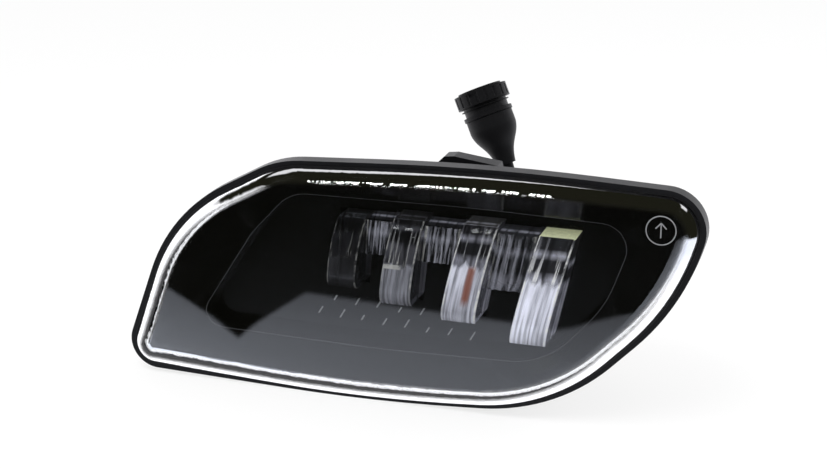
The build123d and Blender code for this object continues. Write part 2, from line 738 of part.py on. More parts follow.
def swept(points, radius):
    """Round wire or cable along a smooth path."""
    path = Spline(*points)
    start = Plane(origin=path @ 0, z_dir=path % 0)
    return sweep(start * Circle(radius), path=path)


def inner_wires():
    """Two leads from the gland to the plug of the driver board."""
    wires = []
    for side in (-1.3, 1.3):
        points = (
            (GLAND_X + side, 70.0, GLAND_Z),
            (GLAND_X - 3 + side, 62.0, GLAND_Z + 1 + side),
            (12.0 + side, 58.0, 9.0 + side),
            (2.0, 55.0, 8.0 + side),
            (-4.0 + side, 54.6, 8.0),
            (-5.0 + side, 59.2, 8.0),
        )
        wires.append(swept(points, 0.9))
    return Compound(children=wires)


def led_leads():
    """Two short leads from the LED plug towards the driver board."""
    wires = []
    middle_x = (PLUG_X[0] + PLUG_X[1]) / 2
    middle_z = (PLUG_Z[0] + PLUG_Z[1]) / 2
    for side in (-1.6, 1.6):
        points = (
            (middle_x + side, BOARD_REAR + 2, middle_z),
            (middle_x + side, BOARD_REAR + 8, middle_z + 0.2),
            (middle_x + side, 50.0, middle_z + 1.5),
            (middle_x + side, 56.5, middle_z - 1),
        )
        wires.append(swept(points, 0.7))
    return Compound(children=wires)


# ------------------------------------------------------------------ gland and pigtail
def cable_gland():
    """Sealed cable entry pressed into the rear wall."""
    body = tube(GLAND_HOLE - 0.1, GLAND_BORE, GLAND_X, GLAND_Z, REAR_INNER - 1.5, REAR_OUTER + 8)
    hexagon = Pos(GLAND_X, GLAND_Z) * (RegularPolygon(12, 6) - Circle(GLAND_BORE))
    return body + slab(hexagon, GLAND_SEAT_REAR, GLAND_SEAT_REAR + 4)


def gland_grommet():
    """Rubber sleeve that the gland nut squeezes onto the leads."""
    return tube(GLAND_BORE - 0.05, CABLE_RADIUS + 0.2, GLAND_X, GLAND_Z, REAR_INNER + 1.5, REAR_OUTER + 8)


def gland_nut():
    """Domed cap nut of the gland."""
    nut = rod(9.6, GLAND_X, GLAND_Z, NUT_FRONT, NUT_REAR)
    nut = fillet(nut.edges().sort_by(Axis.Y)[-1], 2.5)
    nut -= rod(CABLE_RADIUS + 0.35, GLAND_X, GLAND_Z, NUT_FRONT - 1, NUT_REAR + 1)
    for flute in range(6):
        angle = math.radians(60 * flute)
        x = GLAND_X + 10.6 * math.cos(angle)
        z = GLAND_Z + 10.6 * math.sin(angle)
        nut -= rod(2.2, x, z, NUT_FRONT - 1, NUT_REAR - 2.5)
    return nut


def along_connector(distance):
    """Plane across the connector at a distance from the small end of the boot."""
    origin = BOOT_BOTTOM + CONNECTOR_AXIS * distance
    return Plane(origin=origin, x_dir=CONNECTOR_SIDE, z_dir=CONNECTOR_AXIS)


def connector_disc(radius, start, end):
    """Round bar along the connector axis."""
    return extrude(along_connector(start) * Circle(radius), amount=end - start)


def cable():
    """Jacketed cable from the gland to the boot, with a tight upward bend."""
    path = Spline(
        PIGTAIL_START,
        (GLAND_X, 95.0, GLAND_Z + 2.2),
        (GLAND_X - 0.4, 100.0, GLAND_Z + 10),
        BOOT_BOTTOM + CONNECTOR_AXIS * 4,
        tangents=((0, 1, 0), CONNECTOR_AXIS),
    )
    across = Plane(origin=PIGTAIL_START, z_dir=(0, 1, 0))
    return sweep(across * Circle(CABLE_RADIUS), path=path)


def connector_boot():
    """Bell-shaped rubber boot from the cable up to the connector collar."""
    top = COLLAR - 2.2
    flank = Spline((BOOT_SMALL, 0), (7.4, 9.0), (BOOT_LARGE, BOOT_SHOULDER), tangents=((0.1, 1), (0.12, 1)))
    profile = [
        Line((0, 0), (BOOT_SMALL, 0)),
        flank,
        Line((BOOT_LARGE, BOOT_SHOULDER), (BOOT_LARGE, top)),
        Line((BOOT_LARGE, top), (0, top)),
        Line((0, top), (0, 0)),
    ]
    boot = along_connector(0) * revolve(Plane.XZ * make_face(profile), Axis.Z)
    boot -= connector_disc(CABLE_RADIUS + 0.5, -1, 6)
    return boot - connector_disc(SHANK_RADIUS + 0.1, SHELL_START - 6, COLLAR)


def connector_shell():
    """Moulded socket with a collar, a neck for the locking ring and an open mouth."""
    shell = connector_disc(SHANK_RADIUS, SHELL_START - 5, COLLAR)
    shell += connector_disc(COLLAR_RADIUS, COLLAR - 2, COLLAR)
    shell += connector_disc(NECK_RADIUS, COLLAR, MOUTH)
    shell += connector_disc(COLLAR_RADIUS - 0.2, NECK_END - 0.4, NECK_END)
    shell -= connector_disc(MOUTH_BORE, MOUTH_FLOOR, MOUTH + 1)
    shell -= connector_disc(SEAT_BORE, SEAT_FLOOR, MOUTH_FLOOR + 1)
    return shell - connector_disc(SHELL_BORE, SHELL_START - 6, SEAT_FLOOR + 1)


def connector_ring():
    """Turning lock ring with grips and a key notch."""
    end_band = 0.8
    ring = connector_disc(RING_RADIUS, RING_START, RING_END)
    ring -= connector_disc(NECK_RADIUS + 0.1, RING_START - 1, RING_END + 1)
    across = along_connector(RING_START + end_band)
    for grip in range(RING_GRIPS):
        turned = across * Rot(0, 0, 360 / RING_GRIPS * grip)
        cut = turned * Pos(RING_RADIUS + 0.7, 0) * Circle(1.1)
        ring -= extrude(cut, amount=RING_END - RING_START - 2 * end_band)
    notch = along_connector(RING_END - 2.4) * Pos(0, -12.6) * Rectangle(3.6, 3.6)
    return ring - extrude(notch, amount=4)


def terminal_rods(radius, start, end):
    """The two round contacts, or the holes for them."""
    rods = []
    for side in (-1, 1):
        across = along_connector(start) * Pos(side * TERMINAL_SPREAD, 0)
        rods.append(extrude(across * Circle(radius), amount=end - start))
    return rods


def connector_terminals():
    """Two socket contacts, open towards the mouth."""
    sockets = []
    outer_rods = terminal_rods(TERMINAL_RADIUS, COLLAR - 8, SEAT_FLOOR + 1.2)
    bores = terminal_rods(TERMINAL_BORE, COLLAR - 4, SEAT_FLOOR + 2)
    for outer, bore in zip(outer_rods, bores):
        sockets.append(outer - bore)
    return Compound(children=sockets)


def connector_insert():
    """Insulator that holds the two socket contacts."""
    insert = connector_disc(SHELL_BORE - 0.05, COLLAR - 6, SEAT_FLOOR + 0.5)
    insert += connector_disc(SEAT_BORE - 0.1, SEAT_FLOOR + 0.05, SEAT_FLOOR + 1.5)
    for hole in terminal_rods(TERMINAL_RADIUS + 0.02, COLLAR - 9, SEAT_FLOOR + 2):
        insert -= hole
    return insert


def connector_seal():
    """Soft ring on the bottom of the mouth."""
    bead = connector_disc(SEAT_BORE - 0.05, SEAT_FLOOR + 1.6, MOUTH_FLOOR)
    return bead - connector_disc(6.2, SEAT_FLOOR, MOUTH_FLOOR + 1)


def mount_inserts():
    """Four knurled brass inserts tapped M6."""
    inserts = []
    for x in BOLT_X:
        for z in BOLT_Z:
            inserts.append(tube(INSERT_RADIUS, INSERT_BORE, x, z, BOSS_REAR - INSERT_LENGTH, BOSS_REAR))
    return Compound(children=inserts)


PARTS = {
    "housing": housing,
    "outer_lens": outer_lens,
    "lens_seal": lens_seal,
    "bezel": bezel,
    "blade_lens_1": lambda: blade_lens(1),
    "blade_lens_2": lambda: blade_lens(2),
    "blade_lens_3": lambda: blade_lens(3),
    "blade_lens_4": lambda: blade_lens(4),
    "bridge_lens_1": lambda: bridge_lens(0),
    "bridge_lens_2": lambda: bridge_lens(1),
    "bridge_lens_3": lambda: bridge_lens(2),
    "optic_carrier": optic_carrier,
    "led_board": lambda: board_plate(1.0, CARRIER_REAR, BOARD_REAR, SCREW_CLEARANCE),
    "led_packages": led_packages,
    "thermal_pad": thermal_pad,
    "heat_sink": heat_sink,
    "module_screws": module_screws,
    "pivot_pins": pivot_pins,
    "led_plug": led_plug,
    "led_leads": led_leads,
    "adjuster_screw": adjuster_screw,
    "adjuster_nut": adjuster_nut,
    "adjuster_seal": adjuster_seal,
    "adjuster_clip": adjuster_clip,
    "driver_board": driver_board,
    "driver_components": driver_components,
    "driver_screws": driver_screws,
    "vent_membrane": vent_membrane,
    "vent_cap": vent_cap,
    "inner_wires": inner_wires,
    "cable_gland": cable_gland,
    "gland_grommet": gland_grommet,
    "gland_nut": gland_nut,
    "cable": cable,
    "connector_boot": connector_boot,
    "connector_shell": connector_shell,
    "connector_ring": connector_ring,
    "connector_terminals": connector_terminals,
    "connector_insert": connector_insert,
    "connector_seal": connector_seal,
    "mount_inserts": mount_inserts,
}


def main():
    """Build every part and write it to its own file, about the centre of the bolt pattern."""
    os.makedirs("parts", exist_ok=True)
    pattern_centre = Vector(sum(BOLT_X) / 2, BOSS_REAR, sum(BOLT_Z) / 2)
    for name, make in PARTS.items():
        export_step(Pos(-pattern_centre) * make(), f"parts/{name}.step")


main()
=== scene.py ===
"""Looks of the fog light: materials, fine detail, stage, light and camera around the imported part."""
import json
import math

import bmesh
import bpy
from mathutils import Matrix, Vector


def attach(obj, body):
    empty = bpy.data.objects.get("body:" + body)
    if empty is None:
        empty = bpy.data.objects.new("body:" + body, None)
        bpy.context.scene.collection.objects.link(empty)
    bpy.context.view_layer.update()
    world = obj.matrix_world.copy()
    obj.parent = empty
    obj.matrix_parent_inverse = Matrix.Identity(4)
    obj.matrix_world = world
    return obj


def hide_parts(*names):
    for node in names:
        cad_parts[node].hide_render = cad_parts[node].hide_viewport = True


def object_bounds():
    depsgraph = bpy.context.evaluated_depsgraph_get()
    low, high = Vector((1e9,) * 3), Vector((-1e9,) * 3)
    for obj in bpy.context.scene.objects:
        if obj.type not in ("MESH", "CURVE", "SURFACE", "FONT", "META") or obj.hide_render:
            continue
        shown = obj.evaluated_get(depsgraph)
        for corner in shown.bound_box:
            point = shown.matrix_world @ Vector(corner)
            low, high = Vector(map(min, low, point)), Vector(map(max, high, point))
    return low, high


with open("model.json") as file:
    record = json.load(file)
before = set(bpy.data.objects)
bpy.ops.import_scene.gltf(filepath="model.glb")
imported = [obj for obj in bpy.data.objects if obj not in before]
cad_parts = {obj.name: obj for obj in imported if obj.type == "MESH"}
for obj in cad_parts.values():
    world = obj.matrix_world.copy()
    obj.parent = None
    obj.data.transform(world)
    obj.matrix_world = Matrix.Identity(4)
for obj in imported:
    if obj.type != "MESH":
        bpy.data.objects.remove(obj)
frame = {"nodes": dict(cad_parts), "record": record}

cad_low, cad_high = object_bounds()
nodes = frame["nodes"]

MM = 0.001
# the shapes are placed about the centre of the rim outline, as in the design; the row's
# origin is the centre of the rear bolt pattern
PATTERN_CENTRE = Vector((-5.0, 82.0, -7.0))


def at(x, y, z):
    """Point given in millimetres about the rim centre, in the row frame in metres."""
    return (Vector((x, y, z)) - PATTERN_CENTRE) * MM


# ------------------------------------------------------------------ node-tree helpers
class Tree:
    """Small wrapper that adds nodes to a material or world and links them."""

    def __init__(self, owner):
        owner.use_nodes = True
        self.tree = owner.node_tree
        self.tree.nodes.clear()

    def add(self, kind, inputs=None, **settings):
        node = self.tree.nodes.new(kind)
        for name, value in settings.items():
            setattr(node, name, value)
        for key, value in (inputs or {}).items():
            if isinstance(value, bpy.types.NodeSocket):
                self.tree.links.new(value, node.inputs[key])
            else:
                node.inputs[key].default_value = value
        return node

    def math(self, operation, first, second=0.0, third=0.0):
        node = self.add("ShaderNodeMath", {0: first, 1: second, 2: third}, operation=operation)
        return node.outputs[0]

    def ramp(self, factor, stops):
        node = self.add("ShaderNodeValToRGB", {"Fac": factor})
        elements = node.color_ramp.elements
        while len(elements) < len(stops):
            elements.new(0.5)
        for element, (place, colour) in zip(elements, stops):
            element.position = place
            if not hasattr(colour, "__len__"):
                colour = (colour, colour, colour)
            element.color = (*colour, 1.0)
        return node.outputs["Color"]

    def mix(self, factor, first, second):
        node = self.add("ShaderNodeMix", data_type="RGBA")
        sockets = (node.inputs[0], node.inputs[6], node.inputs[7])
        for socket, value in zip(sockets, (factor, first, second)):
            if isinstance(value, bpy.types.NodeSocket):
                self.tree.links.new(value, socket)
            elif hasattr(value, "__len__"):
                socket.default_value = (*value, 1.0) if len(value) == 3 else value
            else:
                socket.default_value = value
        return node.outputs[2]

    def shader_mix(self, factor, first, second):
        node = self.add("ShaderNodeMixShader", {0: factor, 1: first, 2: second})
        return node.outputs[0]

    def noise(self, vector, scale, detail):
        node = self.add("ShaderNodeTexNoise", {"Vector": vector, "Scale": scale, "Detail": detail})
        return node.outputs["Fac"]

    def multiply(self, first, second):
        node = self.add("ShaderNodeVectorMath", {0: first, 1: second}, operation="MULTIPLY")
        return node.outputs[0]

    def output(self, shader, kind="ShaderNodeOutputMaterial"):
        self.add(kind, {"Surface": shader})


FINE_GRAIN = 2000.0
BROAD_GRAIN = 35.0
GLOSS_SPREAD = 0.12
RELIEF_DEPTH = 0.0002


def surface(name, colour, roughness, metallic=0.0, grain=0.0, bump=0.0, **extra):
    """Opaque material with a little procedural variation in colour, gloss and relief."""
    material = bpy.data.materials.new(name)
    tree = Tree(material)
    place = tree.add("ShaderNodeTexCoord").outputs["Object"]
    fine = tree.noise(place, FINE_GRAIN, 3.0)
    broad = tree.noise(place, BROAD_GRAIN, 2.0)
    darker = tuple(channel * (1.0 - grain) for channel in colour)
    shade = tree.mix(fine, (*darker, 1.0), (*colour, 1.0))
    uneven = tree.math("MULTIPLY_ADD", broad, GLOSS_SPREAD, roughness - GLOSS_SPREAD / 2)
    inputs = {"Base Color": shade, "Roughness": uneven, "Metallic": metallic}
    if bump:
        relief = tree.add("ShaderNodeBump", {"Height": fine, "Strength": bump, "Distance": RELIEF_DEPTH})
        inputs["Normal"] = relief.outputs[0]
    inputs.update(extra)
    shader = tree.add("ShaderNodeBsdfPrincipled", inputs)
    tree.output(shader.outputs[0])
    return material


WHITE = (1.0, 1.0, 1.0, 1.0)
POLISHED = 0.015
# share of the surface normal that points forwards, where the lens edge ends and its face begins
EDGE_NORMAL = 0.80
FACE_NORMAL = 0.93
# how much weaker the edge reflects when it is seen from inside
INSIDE_DROP = 0.6


def clear_cover(name, ior, tint, edge_share):
    """Thin clear plastic: light passes straight through and the surface reflects by its angle.

    Where the surface turns sideways, towards the rim, the thick edge reflects edge_share more.
    """
    material = bpy.data.materials.new(name)
    tree = Tree(material)
    fresnel = tree.add("ShaderNodeFresnel", {"IOR": ior}).outputs[0]
    normal = tree.add("ShaderNodeTexCoord").outputs["Normal"]
    depth = tree.math("ABSOLUTE", tree.add("ShaderNodeSeparateXYZ", {0: normal}).outputs["Y"])
    sideways = tree.ramp(depth, ((0.0, 1.0), (EDGE_NORMAL, 1.0), (FACE_NORMAL, 0.0)))
    from_inside = tree.add("ShaderNodeNewGeometry").outputs["Backfacing"]
    share = tree.math("MULTIPLY_ADD", from_inside, -INSIDE_DROP * edge_share, edge_share)
    strength = tree.math("MULTIPLY_ADD", sideways, share, fresnel)
    strength = tree.math("MINIMUM", strength, 1.0)
    passing = tree.add("ShaderNodeBsdfTransparent", {"Color": (*tint, 1.0)}).outputs[0]
    gloss = tree.add("ShaderNodeBsdfGlossy", {"Color": WHITE, "Roughness": POLISHED}).outputs[0]
    layered = tree.shader_mix(strength, passing, gloss)
    rays = tree.add("ShaderNodeLightPath")
    hidden = tree.math("MAXIMUM", rays.outputs["Is Shadow Ray"], rays.outputs["Is Diffuse Ray"])
    tree.output(tree.shader_mix(hidden, layered, passing))
    return material


def solid_clear(name, ior, tint):
    """Solid clear optic that bends light, but lets shadow rays through."""
    material = bpy.data.materials.new(name)
    tree = Tree(material)
    inputs = {"Color": (*tint, 1.0), "IOR": ior, "Roughness": POLISHED}
    glass = tree.add("ShaderNodeBsdfGlass", inputs).outputs[0]
    passing = tree.add("ShaderNodeBsdfTransparent", {"Color": (*tint, 1.0)}).outputs[0]
    rays = tree.add("ShaderNodeLightPath")
    tree.output(tree.shader_mix(rays.outputs["Is Shadow Ray"], glass, passing))
    return material


DULL = {"Specular IOR Level": 0.22}
MATERIALS = {
    "black_moulding": surface("black_moulding", (0.006, 0.006, 0.007), 0.34, grain=0.25, bump=0.25, **DULL),
    "clear_cover": clear_cover("clear_cover", ior=1.58, tint=(0.97, 0.975, 0.98), edge_share=0.92),
    "soft_rubber": surface("soft_rubber", (0.008, 0.008, 0.009), 0.5, grain=0.3, bump=0.4, **DULL),
    "black_gloss_trim": surface("black_gloss_trim", (0.002, 0.002, 0.002), 0.16, grain=0.1, **DULL),
    "clear_optic": solid_clear("clear_optic", ior=1.49, tint=(0.97, 0.975, 0.99)),
    "matte_black": surface("matte_black", (0.008, 0.008, 0.009), 0.42, grain=0.3, bump=0.5, **DULL),
    "white_board": surface("white_board", (0.75, 0.76, 0.74), 0.35, grain=0.05),
    "yellow_phosphor": surface("yellow_phosphor", (0.9, 0.72, 0.12), 0.4, grain=0.15),
    "grey_pad": surface("grey_pad", (0.35, 0.36, 0.38), 0.7, grain=0.2),
    "bare_aluminium": surface("bare_aluminium", (0.7, 0.71, 0.72), 0.36, 1.0, grain=0.12, bump=0.3),
    "steel_fastener": surface("steel_fastener", (0.56, 0.56, 0.57), 0.3, metallic=1.0, grain=0.1, bump=0.2),
    "white_nylon": surface("white_nylon", (0.72, 0.71, 0.66), 0.42, grain=0.06, bump=0.2),
    "red_insulation": surface("red_insulation", (0.42, 0.03, 0.025), 0.4, grain=0.1),
    "green_board": surface("green_board", (0.02, 0.13, 0.06), 0.3, grain=0.2),
    "white_fabric": surface("white_fabric", (0.75, 0.75, 0.73), 0.85, grain=0.2, bump=0.5),
    "tin_contact": surface("tin_contact", (0.72, 0.71, 0.67), 0.25, metallic=1.0, grain=0.08),
    "grey_insulator": surface("grey_insulator", (0.18, 0.19, 0.21), 0.45, grain=0.15, bump=0.2),
    "silicone_seal": surface("silicone_seal", (0.42, 0.12, 0.05), 0.5, grain=0.15),
    # the lens mark's own frosted colour, and also the light grey of the painted reflections drawn as
    # strokes on the recess floor
    "frosted_mark_and_painted_glint": surface("frosted_mark_and_painted_glint", (0.24, 0.245, 0.255), 0.5, grain=0.1),
    # painted highlight: lighter grey for the thin tube that draws the highlight along the recess edge
    "painted_edge_highlight": surface("painted_edge_highlight", (0.06, 0.06, 0.065), 0.35, grain=0.5),
    "brass_insert": surface("brass_insert", (0.68, 0.47, 0.18), 0.3, metallic=1.0, grain=0.1, bump=0.2),
}


CRISP_EDGE_ANGLE = 32.0


def dress_cad_nodes():
    """Gives every carried-over part the material of its slot and smooth shading with crisp edges."""
    for entry in frame["record"]["subparts"]:
        part = nodes[entry["node"]]
        part.data.materials.clear()
        part.data.materials.append(MATERIALS[entry["material_slot"]])
        part.data.polygons.foreach_set("use_smooth", [True] * len(part.data.polygons))
        part.data.set_sharp_from_angle(angle=math.radians(CRISP_EDGE_ANGLE))


dress_cad_nodes()


# ------------------------------------------------------------------ mesh helpers
def mesh_piece(name, points, faces, material, body, smooth=35.0):
    """Mesh made from points in the row frame; it rides on a body of the solid model."""
    mesh = bpy.data.meshes.new(name)
    mesh.from_pydata([tuple(point) for point in points], [], faces)
    work = bmesh.new()
    work.from_mesh(mesh)
    bmesh.ops.recalc_face_normals(work, faces=work.faces)
    work.to_mesh(mesh)
    work.free()
    mesh.polygons.foreach_set("use_smooth", [True] * len(mesh.polygons))
    mesh.set_sharp_from_angle(angle=math.radians(smooth))
    mesh.materials.append(material)
    item = bpy.data.objects.new(name, mesh)
    bpy.context.scene.collection.objects.link(item)
    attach(item, body)
    return item


BEVEL_ANGLE = 40.0


def bevelled(item, width, segments=2):
    """Rounds the edges of a piece."""
    bevel = item.modifiers.new("rounding", "BEVEL")
    bevel.width = width * MM
    bevel.segments = segments
    bevel.limit_method = "ANGLE"
    bevel.angle_limit = math.radians(BEVEL_ANGLE)
    return item


def closed_faces(count):
    """Faces of a closed solid between two matching outlines of count points each."""
    faces = [tuple(range(count)), tuple(range(2 * count - 1, count - 1, -1))]
    for index in range(count):
        after = (index + 1) % count
        faces.append((index, after, after + count, index + count))
    return faces


def prism(outline, offset):
    """Points and faces of a closed prism between an outline and the same outline moved by offset."""
    points = [Vector(point) for point in outline] + [Vector(point) + offset for point in outline]
    return points, closed_faces(len(outline))


def joined(shapes):
    """Several (points, faces) shapes as one."""
    points, faces = [], []
    for shape_points, shape_faces in shapes:
        start = len(points)
        points += list(shape_points)
        faces += [tuple(index + start for index in face) for face in shape_faces]
    return points, faces


def box_shape(low, high):
    """Closed box between two corners given in millimetres about the rim centre."""
    (x0, y0, z0), (x1, y1, z1) = low, high
    base = [at(x0, y0, z0), at(x1, y0, z0), at(x1, y0, z1), at(x0, y0, z1)]
    return prism(base, Vector((0, (y1 - y0) * MM, 0)))


def ring_faces(first, second, sides):
    """Faces between two rings of points that start at the given indices."""
    faces = []
    for step in range(sides):
        after = (step + 1) % sides
        faces.append((first + step, first + after, second + after, second + step))
    return faces


def swept_tube(path, radius, sides=12, closed=False):
    """Tube of round section along a list of points in metres."""
    points, faces = [], []
    count = len(path)
    for index, point in enumerate(path):
        before = path[index - 1] if closed or index else path[0]
        after = path[(index + 1) % count] if closed or index < count - 1 else path[-1]
        along = (after - before).normalized()
        side = along.cross(Vector((0, 1, 0)))
        side = side.normalized() if side.length > 1e-4 else Vector((1, 0, 0))
        up = side.cross(along).normalized()
        for step in range(sides):
            angle = 2 * math.pi * step / sides
            points.append(point + (side * math.cos(angle) + up * math.sin(angle)) * radius)
    rings = count if closed else count - 1
    for ring in range(rings):
        faces += ring_faces(ring * sides, ((ring + 1) % count) * sides, sides)
    if not closed:
        faces.append(tuple(range(sides)))
        faces.append(tuple(range((count - 1) * sides, count * sides)))
    return points, faces


def lathed(profile, origin, axis, sides=48):
    """Body of revolution: profile holds (distance along axis, radius) in millimetres, ends on the axis."""
    axis = Vector(axis).normalized()
    side = axis.orthogonal().normalized()
    up = axis.cross(side)
    points, faces = [], []
    for distance, radius in profile:
        for step in range(sides):
            angle = 2 * math.pi * step / sides
            spoke = side * math.cos(angle) + up * math.sin(angle)
            points.append(origin + axis * distance * MM + spoke * radius * MM)
    for ring in range(len(profile) - 1):
        faces += ring_faces(ring * sides, (ring + 1) * sides, sides)
    faces.append(tuple(range(sides)))
    faces.append(tuple(range((len(profile) - 1) * sides, len(profile) * sides)))
    return points, faces


# corner x, corner z and corner radius of the rim outline, in order round it
RIM_CORNERS = (
    (-147.0, -57.5, 14.0), (-14.0, -61.0, 900.0), (75.0, -54.5, 95.0), (132.0, 4.5, 118.0),
    (146.5, 58.0, 19.0), (39.0, 61.5, 1100.0), (-61.5, 55.5, 51.0), (-117.5, 24.5, 87.0),
)


ARC_STEP = 3.0


def corner_path(rounded_corners, inset, spacing):
    """Evenly spaced (x, z, inward x, inward z) along a rounded outline moved inwards by inset."""
    raw = []
    count = len(rounded_corners)
    for index, (x, z, radius) in enumerate(rounded_corners):
        x_before, z_before, _ = rounded_corners[index - 1]
        x_after, z_after, _ = rounded_corners[(index + 1) % count]
        side_in = Vector((x - x_before, z - z_before)).normalized()
        side_out = Vector((x_after - x, z_after - z)).normalized()
        turn = math.atan2(side_in.x * side_out.y - side_in.y * side_out.x, side_in.dot(side_out))
        inwards = Vector((-side_in.y - side_out.y, side_in.x + side_out.x)).normalized()
        centre = Vector((x, z)) + inwards * (radius / math.cos(turn / 2))
        steps = max(4, int(abs(turn) * radius / ARC_STEP))
        heading = math.atan2(side_in.y, side_in.x)
        for step in range(steps + 1):
            angle = heading + turn * step / steps
            outward = Vector((math.sin(angle), -math.cos(angle)))
            raw.append((centre + outward * (radius - inset), -outward))
    path = []
    carried = 0.0
    for index, (point, inward) in enumerate(raw):
        after, after_inward = raw[(index + 1) % len(raw)]
        length = (after - point).length
        place = carried
        while place < length:
            share = place / length if length else 0.0
            here = point.lerp(after, share)
            normal = inward.lerp(after_inward, share).normalized()
            path.append((here.x, here.y, normal.x, normal.y))
            place += spacing
        carried = place - length
    return path


# ------------------------------------------------------------------ fine detail on the housing
GUSSET_SPACING = 24.0
# inset from the rim outline and depth of the four corners of a web
GUSSET_OUTLINE = ((2.0, 7.6), (12.5, 7.6), (12.5, 30.0), (10.2, 27.0))


def build_rim_gussets():
    """Small webs between the rear of the rim and the tapered body, all the way round."""
    shapes = []
    half = 0.9
    for x, z, inward_x, inward_z in corner_path(RIM_CORNERS, 0.0, GUSSET_SPACING):
        along_x, along_z = -inward_z, inward_x
        corners = []
        for inset, depth in GUSSET_OUTLINE:
            corners.append(at(
                x + inward_x * inset - along_x * half,
                depth,
                z + inward_z * inset - along_z * half,
            ))
        shapes.append(prism(corners, Vector((along_x, 0, along_z)) * 2 * half * MM))
    points, faces = joined(shapes)
    bevelled(mesh_piece("rim_gussets", points, faces, MATERIALS["black_moulding"], "housing"), 0.25)


REAR_WALL = 71.6
RIB_TOP = 74.2
RIB_HALF = 0.8
# distance from a boss's axis and depth of the four corners of a fin
FIN_OUTLINE = ((6.0, REAR_WALL), (12.5, REAR_WALL), (6.4, 80.5), (6.0, 80.5))


def boss_fins(x, z):
    """Four fins round a boss on the rear wall."""
    shapes = []
    for along_x, along_z in ((1, 0), (-1, 0), (0, 1), (0, -1)):
        side_x, side_z = -along_z * RIB_HALF, along_x * RIB_HALF
        corners = [
            at(x + along_x * reach - side_x, depth, z + along_z * reach - side_z)
            for reach, depth in FIN_OUTLINE
        ]
        shapes.append(prism(corners, Vector((side_x, 0, side_z)) * 2 * MM))
    return shapes


def build_rear_ribs():
    """Raised stiffening ribs on the rear wall and fins round the four bosses."""
    shapes = []
    for x in (-62.0, 52.0):
        for z in (-28.0, 14.0):
            shapes += boss_fins(x, z)
    for z in (-35.0, -14.0):
        shapes.append(box_shape((-50.0, REAR_WALL, z - RIB_HALF), (40.0, RIB_TOP, z + RIB_HALF)))
    for x in (-34.0, -4.0, 40.0):
        shapes.append(box_shape((x - RIB_HALF, REAR_WALL, -35.0), (x + RIB_HALF, RIB_TOP, -14.0)))
    for x in (72.0, 90.0):
        shapes.append(box_shape((x - RIB_HALF, REAR_WALL, -2.0), (x + RIB_HALF, RIB_TOP, 26.0)))
    points, faces = joined(shapes)
    bevelled(mesh_piece("rear_ribs", points, faces, MATERIALS["black_moulding"], "housing"), 0.3)


EJECTOR_PLACES = (
    (-90, -2), (-40, 22), (6, 25), (66, 24), (104, 18), (60, -12), (20, -26), (-18, -26),
)
EJECTOR_WALL = 72.0
# distance behind the wall and radius, from the sunk foot over the raised ring to the middle
EJECTOR_PROFILE = ((-0.6, 3.2), (0.25, 3.2), (0.35, 3.0), (0.35, 2.2), (0.15, 2.1), (0.15, 0.01))


def build_ejector_marks():
    """Shallow raised discs where moulding pins met the rear wall."""
    shapes = []
    for x, z in EJECTOR_PLACES:
        shapes.append(lathed(EJECTOR_PROFILE, at(x, EJECTOR_WALL, z), (0, 1, 0), 28))
    points, faces = joined(shapes)
    mesh_piece("ejector_marks", points, faces, MATERIALS["black_moulding"], "housing")


GLUE_INSET = 2.55
GLUE_DEPTH = -0.02
GLUE_RADIUS = 0.3
PATH_SPACING = 2.0


def build_glue_bead():
    """Bead of adhesive between the lens skirt and the lip of the rim."""
    outline = corner_path(RIM_CORNERS, GLUE_INSET, PATH_SPACING)
    path = [at(x, GLUE_DEPTH, z) for x, z, _, _ in outline]
    points, faces = swept_tube(path, GLUE_RADIUS * MM, 8, closed=True)
    mesh_piece("glue_bead", points, faces, MATERIALS["soft_rubber"], "housing")


# ------------------------------------------------------------------ mark on the lens
LENS_CROWN = -11.0
LENS_RADIUS = 2500.0
# the mark lies this far behind the lens's outer surface, in the wall of the lens
MARK_DEPTH = 2.9
MARK_X = 121.5
MARK_Z = 41.5
MARK_RADIUS = 6.6
MARK_LINE = 0.27
ARROW_LINE = 0.3
ARROW_TIP = (0.0, 3.4)
ARROW_STROKES = (((0.0, -3.4), ARROW_TIP), (ARROW_TIP, (-2.4, 0.8)), (ARROW_TIP, (2.4, 0.8)))


def mark_point(x, z):
    """Point of the mark at a place measured from the mark's centre, in millimetres."""
    x, z = MARK_X + x, MARK_Z + z
    lens_front = LENS_CROWN + (x * x + z * z) / (2 * LENS_RADIUS)
    return at(x, lens_front + MARK_DEPTH, z)


def build_lens_mark():
    """Plain ring and an up arrow moulded on the lens, in place of lettering."""
    ring = []
    steps = 64
    for step in range(steps):
        angle = 2 * math.pi * step / steps
        ring.append(mark_point(MARK_RADIUS * math.cos(angle), MARK_RADIUS * math.sin(angle)))
    shapes = [swept_tube(ring, MARK_LINE * MM, 8, closed=True)]
    for start, end in ARROW_STROKES:
        path = []
        for share in (0.0, 0.5, 1.0):
            x = start[0] + (end[0] - start[0]) * share
            z = start[1] + (end[1] - start[1]) * share
            path.append(mark_point(x, z))
        shapes.append(swept_tube(path, ARROW_LINE * MM, 8))
    points, faces = joined(shapes)
    mesh_piece("lens_mark", points, faces, MATERIALS["frosted_mark_and_painted_glint"], "housing")


build_rim_gussets()
build_rear_ribs()
build_ejector_marks()
build_glue_bead()
build_lens_mark()


# ------------------------------------------------------------------ blade optics
LEAN_PIVOT = 5.0
